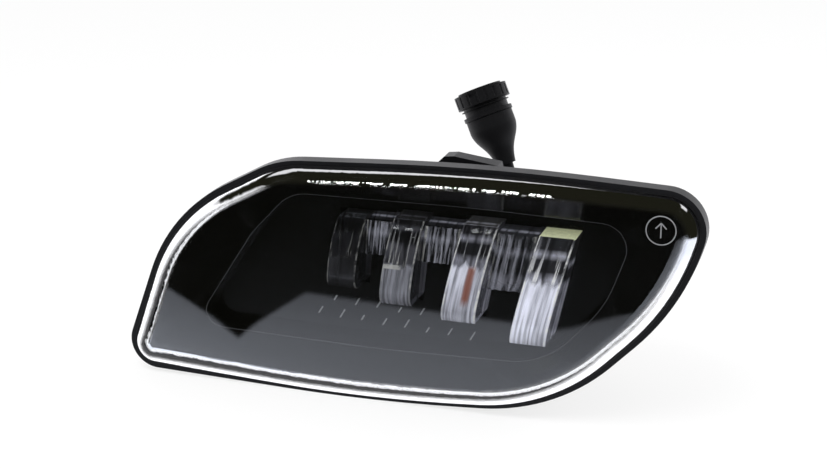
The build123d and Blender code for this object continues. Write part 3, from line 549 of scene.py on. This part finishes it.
# centre x at the lean pivot's height, low end, top end, width and sideways lean in degrees, as
# in the solid model
BLADES = (
    (-31.0, -7.0, 26.0, 14.5, 4.0),
    (-3.5, -13.0, 28.0, 15.5, 6.0),
    (29.5, -18.0, 28.5, 17.0, 10.5),
    (65.5, -25.5, 26.5, 17.5, 12.5),
)
# painted light: how bright each optic's back and front coats are painted; the blades are alike clear
# plastic, and the levels stand for the light and reflections each one shows
BLADE_PAINTED_LIGHT = (0.02, 0.12, 0.5, 0.8)
FRONT_PAINTED_LIGHT = (0.02, 0.24, 0.6, 0.8)
FRONT_SPLITS = (0.5, 0.5, 0.6, 0.6)
BRIDGE_PAINTED_LIGHT = (0.4, 0.42, 0.3)
# painted glow: emission added to the back and front coats of the optics
BACK_GLOW = 0.35
FRONT_GLOW = 0.1
FACET_SCALE = (260.0, 1.0, 90.0)
STREAKED_BLADE = 3
STREAK_TINT = (0.17, 0.06, 0.04)
# painted highlight: one blade gets a bright line at the split of its front
BARRED_BLADE = 2
# painted reflection: one blade's top face is painted yellow-green with a glow
YELLOW_TOP_BLADE = 4
YELLOW_TINT = (0.95, 1.0, 0.62)
PLAIN_TINT = (0.7, 0.7, 0.66)
OPTIC_BACK = 28.9
CLEAR_IOR = 1.49
CLEAR_TINT = (0.97, 0.98, 0.99, 1.0)
BRIDGE_LOW = (9.0, 8.0, -2.0)
BRIDGE_TOP = 26.0
BRIDGE_FRONT = 13.0
BRIDGE_GAP = 0.4
FLUTE_DEPTH = 1.1


def lean_shift(z, lean):
    """Sideways shift of a leaning blade at height z, in millimetres."""
    return (z - LEAN_PIVOT) * math.tan(math.radians(lean))


def optic_place(tree, place, centre, lean, width, low, top):
    """Place on an optic: across its width (-0.5 to 0.5) and up its height (0 to 1)."""
    parts = tree.add("ShaderNodeSeparateXYZ", {0: place})
    x = tree.math("MULTIPLY_ADD", parts.outputs["X"], 1 / MM, PATTERN_CENTRE.x)
    z = tree.math("MULTIPLY_ADD", parts.outputs["Z"], 1 / MM, PATTERN_CENTRE.z)
    tangent = math.tan(math.radians(lean))
    middle = tree.math("MULTIPLY_ADD", z, tangent, centre - LEAN_PIVOT * tangent)
    across = tree.math("DIVIDE", tree.math("SUBTRACT", x, middle), width)
    up = tree.math("DIVIDE", tree.math("SUBTRACT", z, low), top - low)
    return across, up


def optic_back(name, centre, lean, width, low, top, tone, stripes=2.0):
    """Facetted back coat of an optic painted with light and shade: lighter low down, streaked higher up,
    with a faint painted glow.
    """
    material = bpy.data.materials.new(name)
    tree = Tree(material)
    place = tree.add("ShaderNodeTexCoord").outputs["Object"]
    across, up = optic_place(tree, place, centre, lean, width, low, top)
    # painted light and shade: light bands low down and dark bands higher up, scaled by the optic's painted
    # light level
    cold = (tone * 0.86, tone * 0.86, tone)
    dark = (tone * 0.03, tone * 0.03, tone * 0.035)
    bands = ((0.0, cold), (0.5, cold), (0.56, dark), (0.66, dark), (0.71, cold), (0.76, dark), (0.9, dark))
    base = tree.ramp(up, bands)
    wave = tree.math("SINE", tree.math("MULTIPLY", across, 2 * math.pi * stripes))
    lines = tree.ramp(tree.math("MULTIPLY_ADD", wave, 0.5, 0.5), ((0.0, 0.25), (0.12, 0.8), (0.3, 1.0)))
    shade = tree.multiply(base, lines)
    stretched = tree.add("ShaderNodeMapping", {"Vector": place, "Scale": FACET_SCALE}).outputs[0]
    mottled = tree.noise(stretched, 1.0, 3.0)
    uneven = tree.ramp(mottled, ((0.32, 0.3), (0.5, 0.95), (0.7, 1.25)))
    shade = tree.multiply(shade, uneven)
    inputs = {"Base Color": shade, "Roughness": 0.3, "Specular IOR Level": 0.8}
    coat = tree.add("ShaderNodeBsdfPrincipled", inputs)
    # painted glow on the back coat
    glowing = tree.add("ShaderNodeEmission", {"Color": shade, "Strength": BACK_GLOW}).outputs[0]
    added = tree.add("ShaderNodeAddShader", {0: coat.outputs[0], 1: glowing}).outputs[0]
    tree.output(added)
    return material


def optic_front(
    name, centre, lean, width, low, top, tone,
    split=0.5, streak=None, bar=0.0, valley=0.35, cover=0.93,
):
    """Front face of an optic: a bright, finely streaked lower part up to split, painted light for what the
    optic reflects, clear glass above.

    Painted highlights stand as bright lines in the clear part and along both edges. Streak tints the
    middle, bar is the strength of a painted highlight line at the split, valley is how dark the fine
    streaks get and cover how much the painted lower part hides what lies behind.
    """
    material = bpy.data.materials.new(name)
    tree = Tree(material)
    place = tree.add("ShaderNodeTexCoord").outputs["Object"]
    across, up = optic_place(tree, place, centre, lean, width, low, top)

    def streaks(across_scale, up_scale, offset):
        vector = tree.add("ShaderNodeCombineXYZ", {
            "X": tree.math("MULTIPLY", across, across_scale),
            "Y": tree.math("MULTIPLY", up, up_scale),
            "Z": centre + offset,
        }).outputs[0]
        return tree.noise(vector, 1.0, 3.0)

    # painted light: the bright lower part of the front, up to a ragged line at split
    ragged = tree.math("MULTIPLY_ADD", streaks(9.0, 0.5, 3.0), 0.22, tree.math("SUBTRACT", up, 0.11))
    painted_lower_light = tree.ramp(ragged, ((0.0, 1.0), (split, 1.0), (split + 0.05, 0.0)))
    fine = tree.ramp(streaks(14.0, 1.6, 0.0), ((0.46 - 0.34 * valley, valley), (0.55, 0.95), (0.68, 1.1)))
    # painted highlights: glint lines in the clear part, along both edges and at the split
    glint_lines = tree.ramp(streaks(16.0, 2.2, 7.0), ((0.56, 0.0), (0.61, 1.0)))
    clear_part = tree.ramp(up, ((split - 0.02, 0.0), (split + 0.05, 0.9), (0.82, 0.5), (0.95, 0.15)))
    edges = tree.ramp(tree.math("ABSOLUTE", across), ((0.43, 0.0), (0.455, 1.0)))
    broken = tree.ramp(streaks(3.0, 11.0, 5.0), ((0.42, 0.15), (0.58, 1.0)))
    patchy = tree.ramp(streaks(1.6, 1.3, 9.0), ((0.4, 0.62), (0.6, 1.0)))
    from_split = tree.math("ABSOLUTE", tree.math("SUBTRACT", up, split))
    line = tree.ramp(from_split, ((0.0, bar), (0.02, bar), (0.03, 0.0)))
    left_half = tree.ramp(across, ((0.0, 1.0), (0.12, 0.0)))
    glint_lines = tree.math("MULTIPLY", glint_lines, clear_part)
    edges = tree.math("MULTIPLY", edges, broken)
    bright = tree.math("MAXIMUM", glint_lines, edges)
    bright = tree.math("MAXIMUM", bright, tree.math("MULTIPLY", line, left_half))
    # painted light: the lower part's tint follows the optic's painted light level
    lower_light_tint = (tone * 0.86, tone * 0.87, tone)
    fine = tree.math("MULTIPLY", fine, patchy)
    shade = tree.multiply(lower_light_tint, fine)
    if streak:
        near = tree.math("ABSOLUTE", tree.math("SUBTRACT", across, 0.12))
        warm = tree.ramp(near, ((0.0, 1.0), (0.08, 0.85), (0.14, 0.0)))
        reach = tree.ramp(up, ((0.2, 0.0), (0.3, 1.0), (0.6, 1.0), (0.68, 0.0)))
        shade = tree.mix(tree.math("MULTIPLY", warm, reach), shade, streak)
    glint = min(0.95, tone * 0.8 + 0.10)
    shade = tree.mix(bright, shade, (glint, glint, glint * 0.96))
    coat = tree.add("ShaderNodeBsdfPrincipled", {"Base Color": shade, "Roughness": 0.25}).outputs[0]
    # painted glow on the front coat
    lit = tree.add("ShaderNodeEmission", {"Color": shade, "Strength": FRONT_GLOW}).outputs[0]
    lower_light_shader = tree.add("ShaderNodeAddShader", {0: coat, 1: lit}).outputs[0]
    glass = tree.add("ShaderNodeBsdfGlass", {"Color": CLEAR_TINT, "IOR": CLEAR_IOR, "Roughness": 0.02})
    share = tree.math("MAXIMUM", tree.math("MULTIPLY", painted_lower_light, cover), tree.math("MULTIPLY", bright, 0.75))
    tree.output(tree.shader_mix(share, glass.outputs[0], lower_light_shader))
    return material


def painted_top_light(name, tint, share):
    """Top face of a blade: clear optic with a share of matt, tinted painted light and a painted glow."""
    material = bpy.data.materials.new(name)
    tree = Tree(material)
    inputs = {"Color": CLEAR_TINT, "IOR": CLEAR_IOR, "Roughness": 0.03}
    glass = tree.add("ShaderNodeBsdfGlass", inputs).outputs[0]
    place = tree.add("ShaderNodeTexCoord").outputs["Object"]
    patches = tree.noise(place, 420.0, 2.0)
    darker = tuple(channel * 0.6 for channel in tint)
    shade = tree.mix(patches, (*darker, 1.0), (*tint, 1.0))
    matt = tree.add("ShaderNodeBsdfDiffuse", {"Color": shade}).outputs[0]
    # painted glow, stronger the larger the share
    lit = tree.add("ShaderNodeEmission", {"Color": shade, "Strength": 0.45 * share}).outputs[0]
    matt = tree.add("ShaderNodeAddShader", {0: matt, 1: lit}).outputs[0]
    tree.output(tree.shader_mix(share, glass, matt))
    return material


def blade_profile(low, top):
    """Front outline of a blade in depth and height, from the top rear to the bottom rear."""
    nose_y, shoulder_y, foot_y = 2.0, 14.0, 7.5
    nose_z = low + 0.22 * (top - low)
    line = [(OPTIC_BACK, top)]
    for end_y, end_z, steps, upper in ((shoulder_y, top, 16, True), (foot_y, low, 7, False)):
        rise = abs(end_z - nose_z)
        radius = ((end_y - nose_y) ** 2 + rise ** 2) / (2 * (end_y - nose_y))
        reach = math.asin(min(1.0, rise / radius))
        arc = []
        for step in range(steps + 1):
            angle = reach * step / steps
            height = radius * math.sin(angle)
            arc.append((nose_y + radius * (1 - math.cos(angle)), nose_z + (height if upper else -height)))
        line += list(reversed(arc)) if upper else arc[1:]
    line.append((OPTIC_BACK, low))
    return line


def build_blade(number):
    """Clear blade with a back, top and front coated in painted light, trimmed to its lean; it stands for
    the solid model's blade.
    """
    centre, low, top, width, lean = BLADES[number - 1]
    profile = blade_profile(low, top)
    points = []
    for side in (-1, 1):
        for y, z in profile:
            points.append(at(centre + lean_shift(z, lean) + side * width / 2, y, z))
    faces = closed_faces(len(profile))
    blade = mesh_piece(f"blade_{number}", points, faces, MATERIALS["clear_optic"], "module", 50.0)
    tone = BLADE_PAINTED_LIGHT[number - 1]
    streak = STREAK_TINT if number == STREAKED_BLADE else None
    bar = 1.0 if number == BARRED_BLADE else 0.0
    blade.data.materials.append(optic_back(f"blade_{number}_back", centre, lean, width, low, top, tone))
    # painted light on the top face: a matt share by the blade's painted light level, and on one blade a
    # painted yellow-green reflection with a glow
    tint, share = PLAIN_TINT, 0.25 * tone
    if number == YELLOW_TOP_BLADE:
        tint, share = YELLOW_TINT, 0.85
    blade.data.materials.append(painted_top_light(f"blade_{number}_top", tint, share))
    front_tone = FRONT_PAINTED_LIGHT[number - 1]
    split = FRONT_SPLITS[number - 1]
    blade.data.materials.append(optic_front(
        f"blade_{number}_front", centre, lean, width, low, top, front_tone, split, streak, bar,
    ))
    for polygon in blade.data.polygons:
        if polygon.normal.y > 0.9:
            polygon.material_index = 1
        elif polygon.normal.z > 0.9:
            polygon.material_index = 2
        elif polygon.normal.y < -0.3:
            polygon.material_index = 3
    bevelled(blade, 0.8, 3)
    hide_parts(f"blade_lens_{number}")


def build_bridge(index):
    """Ribbed clear optic between two blades; its front is a row of round flutes."""
    left_x, _, _, left_width, left_lean = BLADES[index]
    right_x, _, _, right_width, right_lean = BLADES[index + 1]
    low, top = BRIDGE_LOW[index], BRIDGE_TOP
    flutes, steps = 4, 5
    front = []
    for flute in range(flutes):
        for step in range(steps):
            share = (flute + step / steps) / flutes
            bulge = math.sin(math.pi * step / steps)
            front.append((share, BRIDGE_FRONT + FLUTE_DEPTH * (1.0 - bulge)))
    front.append((1.0, BRIDGE_FRONT + FLUTE_DEPTH))
    section = front + [(1.0, OPTIC_BACK), (0.0, OPTIC_BACK)]
    points = []
    for z in (low, top):
        start = left_x + lean_shift(z, left_lean) + left_width / 2 + BRIDGE_GAP
        end = right_x + lean_shift(z, right_lean) - right_width / 2 - BRIDGE_GAP
        points += [at(start + (end - start) * share, y, z) for share, y in section]
    faces = closed_faces(len(section))
    bridge = mesh_piece(f"bridge_{index + 1}", points, faces, MATERIALS["clear_optic"], "module", 60.0)
    centre = (left_x + right_x) / 2
    width = right_x - left_x - (left_width + right_width) / 2
    lean = (left_lean + right_lean) / 2
    # painted light: the back and front coats paint the light and glints the ribbed optic shows, the front
    # by its painted light level
    back = optic_back(f"bridge_{index + 1}_back", centre, lean, width, low - 30, top + 6, 0.6, stripes=3.5)
    bridge.data.materials.append(back)
    tone = BRIDGE_PAINTED_LIGHT[index]
    front_coat = optic_front(
        f"bridge_{index + 1}_front", centre, lean, width, low - 14, top + 3, tone,
        split=0.9, valley=0.0, cover=0.55,
    )
    bridge.data.materials.append(front_coat)
    for polygon in bridge.data.polygons:
        if polygon.normal.y > 0.9:
            polygon.material_index = 1
        elif polygon.normal.y < -0.3:
            polygon.material_index = 2
    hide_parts(f"bridge_lens_{index + 1}")


# ------------------------------------------------------------------ bezel detail
# corner x, corner z and corner radius of the recess outline
RECESS_CORNERS = (
    (-112.0, -37.0, 8.0), (-14.0, -38.5, 900.0), (66.0, -36.0, 40.0), (94.0, -4.0, 60.0),
    (108.0, 36.0, 12.0), (30.0, 37.5, 900.0), (-60.0, 36.0, 20.0), (-80.0, 14.0, 40.0),
)
RECESS_START = 12.0
RECESS_FLOOR = 22.0
# first stroke's x and z and the number of strokes in each row of painted reflections on the recess floor
FLOOR_GLINT_ROWS = ((-42.0, -20.0, 6), (-50.0, -27.5, 8))
FLOOR_GLINT_PITCH = 11.0


def build_recess_edge():
    """Fine lighter tube along the edge where the bezel turns into the recess: a painted highlight on that
    edge.
    """
    outline = corner_path(RECESS_CORNERS, -0.1, PATH_SPACING)
    path = [at(x, RECESS_START, z) for x, z, _, _ in outline]
    points, faces = swept_tube(path, 0.22 * MM, 6, closed=True)
    mesh_piece("recess_edge", points, faces, MATERIALS["painted_edge_highlight"], "housing")


def build_painted_floor_glints():
    """Short slanting raised light grey strokes in two rows on the floor of the recess, under the blades:
    painted reflections of the blades' ribs.
    """
    shapes = []
    half, rise, length = 0.35, 0.9, 5.0
    slope = Vector((0.5, 0.0, 0.87))
    for row, (start_x, start_z, count) in enumerate(FLOOR_GLINT_ROWS):
        for step in range(count):
            x = start_x + FLOOR_GLINT_PITCH * step
            z = start_z - 0.055 * (x - start_x) - 0.6 * (step % 2)
            stretch = length * (0.6 + 0.4 * ((step + row) % 3) / 2)
            low = Vector((x, RECESS_FLOOR + 0.2, z))
            high = low + slope * stretch
            corners = [
                at(low.x - half, low.y, low.z),
                at(low.x + half, low.y, low.z),
                at(high.x + half, low.y, high.z),
                at(high.x - half, low.y, high.z),
            ]
            shapes.append(prism(corners, Vector((0, -rise * MM, 0))))
    points, faces = joined(shapes)
    bevelled(mesh_piece("painted_floor_glints", points, faces, MATERIALS["frosted_mark_and_painted_glint"], "housing"), 0.12)


build_recess_edge()
build_painted_floor_glints()
for blade_number in range(1, 5):
    build_blade(blade_number)
for bridge_index in range(3):
    build_bridge(bridge_index)


# ------------------------------------------------------------------ stage, light and camera
# uneven far edge of the floor that reflections show: place along it and height, both as shares
FLOOR_EDGE = (
    (0.0, 0.80), (0.17, 0.80), (0.25, 0.63), (0.33, 0.78),
    (0.45, 0.74), (0.60, 0.70), (0.69, 0.80), (0.75, 0.82),
)
DARK_HALL = (0.011, 0.011, 0.007)
LIT_FLOOR = (1.35, 1.42, 1.6)
LIT_SURROUND = (1.2, 1.2, 1.24)
STRIP_STRENGTH = 0.6


def build_world():
    """White behind the object, soft light on it, and for reflections a lit floor under a dark hall.

    The reflected surroundings are white to the left, behind on the right, and below. In front,
    a pale floor starts at an uneven dark edge, and overhead it is dark but for one strip.
    """
    world = bpy.data.worlds.new("studio")
    bpy.context.scene.world = world
    tree = Tree(world)
    direction = tree.add("ShaderNodeTexCoord").outputs["Generated"]
    parts = tree.add("ShaderNodeSeparateXYZ", {0: direction})
    towards_front = tree.math("MULTIPLY", parts.outputs["Y"], -1.0)
    azimuth = tree.math("ARCTAN2", parts.outputs["X"], towards_front)
    azimuth = tree.math("MULTIPLY", azimuth, math.degrees(1.0))
    elevation = tree.math("MULTIPLY", tree.math("ARCSINE", parts.outputs["Z"]), math.degrees(1.0))

    def band(value, start, end):
        node = tree.add("ShaderNodeMapRange", {"Value": value, "From Min": start, "From Max": end})
        node.interpolation_type = "SMOOTHSTEP"
        return node.outputs[0]

    # far edge of the floor: a ramp over azimuth -40 to 10 gives its elevation in degrees
    share = tree.math("DIVIDE", tree.math("ADD", azimuth, 40.0), 50.0)
    edge = tree.ramp(share, FLOOR_EDGE)
    edge_height = tree.math("MULTIPLY_ADD", edge, 15.0, -32.6)
    floor = band(tree.math("SUBTRACT", edge_height, elevation), -0.15, 0.2)
    floor_tone = tree.math("MULTIPLY_ADD", band(elevation, -19.0, -26.0), 0.42, 0.26)
    dim_floor = tree.math("MULTIPLY", floor, floor_tone)
    front = tree.mix(dim_floor, DARK_HALL, LIT_FLOOR)
    left = band(azimuth, -46.0, -60.0)
    behind_right = band(azimuth, 112.0, 130.0)
    behind_all = band(tree.math("ABSOLUTE", azimuth), 95.0, 105.0)
    below = band(elevation, -34.0, -44.0)
    white = tree.math("MAXIMUM", tree.math("MAXIMUM", left, behind_right), below)
    low_enough = band(elevation, 30.0, 24.0)
    white = tree.math("MULTIPLY", white, low_enough)
    # a lit strip high up behind the lamp draws the thin line along the top of the lens
    strip = tree.math("MULTIPLY", band(elevation, 38.0, 42.0), band(elevation, 58.0, 54.0))
    strip = tree.math("MULTIPLY", tree.math("MULTIPLY", strip, behind_all), STRIP_STRENGTH)
    white = tree.math("MAXIMUM", white, strip)
    reflected = tree.mix(white, front, LIT_SURROUND)
    rays = tree.add("ShaderNodeLightPath")
    soft = tree.add("ShaderNodeBackground", {"Color": WHITE, "Strength": 0.9}).outputs[0]
    mirror = tree.add("ShaderNodeBackground", {"Color": reflected, "Strength": 1.0}).outputs[0]
    backdrop = tree.add("ShaderNodeBackground", {"Color": WHITE, "Strength": 1.0}).outputs[0]
    shown = tree.shader_mix(rays.outputs["Is Glossy Ray"], soft, mirror)
    shown = tree.shader_mix(rays.outputs["Is Transmission Ray"], shown, mirror)
    shown = tree.shader_mix(rays.outputs["Is Camera Ray"], shown, backdrop)
    tree.output(shown, "ShaderNodeOutputWorld")


def stage_mesh(name, points, faces, material):
    """Staging surface that isn't part of the object."""
    mesh = bpy.data.meshes.new(name)
    mesh.from_pydata([tuple(point) for point in points], [], faces)
    item = bpy.data.objects.new(name, mesh)
    bpy.context.scene.collection.objects.link(item)
    mesh.materials.append(material)
    return item


def glow(name, strength):
    """White emitting material."""
    material = bpy.data.materials.new(name)
    tree = Tree(material)
    light = tree.add("ShaderNodeEmission", {"Color": WHITE, "Strength": strength})
    tree.output(light.outputs[0])
    return material


FLOOR_SIZE = 6.0
FLOOR_GAP = 0.0002


def build_floor():
    """Pale floor under the lowest edge of the rim, kept nearly white."""
    material = bpy.data.materials.new("pale_floor")
    tree = Tree(material)
    matt = tree.add("ShaderNodeBsdfDiffuse", {"Color": (0.9, 0.9, 0.9, 1.0)}).outputs[0]
    lift = tree.add("ShaderNodeEmission", {"Color": WHITE, "Strength": 0.97}).outputs[0]
    tree.output(tree.shader_mix(0.8, matt, lift))
    size = FLOOR_SIZE
    low = cad_low.z - FLOOR_GAP
    corners = [(-size, -size, low), (size, -size, low), (size, size, low), (-size, size, low)]
    floor = stage_mesh("floor", corners, [(0, 1, 2, 3)], material)
    floor.visible_glossy = False
    floor.visible_transmission = False


TUBE_GLOW = 9.0
TUBE_WIDTH = 0.0056
TUBE_LENGTH = 0.16
TUBE_PLACE = at(-278.0, -640.0, 800.0)
TUBE_DIRECTION = Vector((0.0, -0.75, -0.66))
TUBE_PAIRS = 10
PAIR_PITCH = 0.042
PAIR_GAP = 0.014


def build_ceiling_tubes():
    """Pairs of bright tubes overhead that only reflections see."""
    material = glow("tube_glow", TUBE_GLOW)
    across = Vector((1.0, 0.0, 0.0))
    half_across = across * TUBE_WIDTH / 2
    half_along = TUBE_DIRECTION * TUBE_LENGTH / 2
    points, faces = [], []
    for pair in range(TUBE_PAIRS):
        for side in (-0.5, 0.5):
            shift = (pair - TUBE_PAIRS / 2) * PAIR_PITCH + side * PAIR_GAP
            centre = TUBE_PLACE + across * shift
            start = len(points)
            points += [
                centre - half_across - half_along,
                centre + half_across - half_along,
                centre + half_across + half_along,
                centre - half_across + half_along,
            ]
            faces.append((start, start + 1, start + 2, start + 3))
    tubes = stage_mesh("ceiling_tubes", points, faces, material)
    tubes.visible_camera = False
    tubes.visible_diffuse = False
    tubes.visible_shadow = False


def area_light(name, place, target, size, power):
    """Soft box aimed at a point."""
    data = bpy.data.lights.new(name, "AREA")
    data.shape = "RECTANGLE"
    data.size, data.size_y = size
    data.energy = power
    lamp = bpy.data.objects.new(name, data)
    bpy.context.scene.collection.objects.link(lamp)
    lamp.location = place
    lamp.visible_glossy = False
    lamp.visible_transmission = False
    lamp.rotation_euler = (target - place).to_track_quat("-Z", "Y").to_euler()


VIEW_AZIMUTH = math.radians(18.0)
VIEW_ELEVATION = math.radians(19.0)
CAMERA_PLACE = at(266.58, -803.12, 316.61)
FOCAL_LENGTH = 84.23
SENSOR_WIDTH = 36.0
FAR_CLIP = 50.0


def build_camera():
    """Camera to the right of the front and above it, level, without roll."""
    data = bpy.data.cameras.new("camera")
    data.sensor_width = SENSOR_WIDTH
    data.lens = FOCAL_LENGTH
    data.clip_end = FAR_CLIP
    camera = bpy.data.objects.new("camera", data)
    bpy.context.scene.collection.objects.link(camera)
    camera.location = CAMERA_PLACE
    forward = Vector((
        -math.sin(VIEW_AZIMUTH) * math.cos(VIEW_ELEVATION),
        math.cos(VIEW_AZIMUTH) * math.cos(VIEW_ELEVATION),
        -math.sin(VIEW_ELEVATION),
    ))
    camera.rotation_euler = forward.to_track_quat("-Z", "Y").to_euler()
    bpy.context.scene.camera = camera


build_world()
build_floor()
build_ceiling_tubes()
area_light("key", place=at(-300, -500, 900), target=at(0, 0, 0), size=(0.9, 0.6), power=9.0)
area_light("fill", place=at(700, 300, 500), target=at(0, 40, 0), size=(0.6, 0.6), power=4.0)
build_camera()

# enough bounces for light to pass the lens and the stack of clear blades behind it
scene = bpy.context.scene
scene.view_settings.view_transform = "Standard"
scene.cycles.max_bounces = 24
scene.cycles.transparent_max_bounces = 32
scene.cycles.transmission_bounces = 16
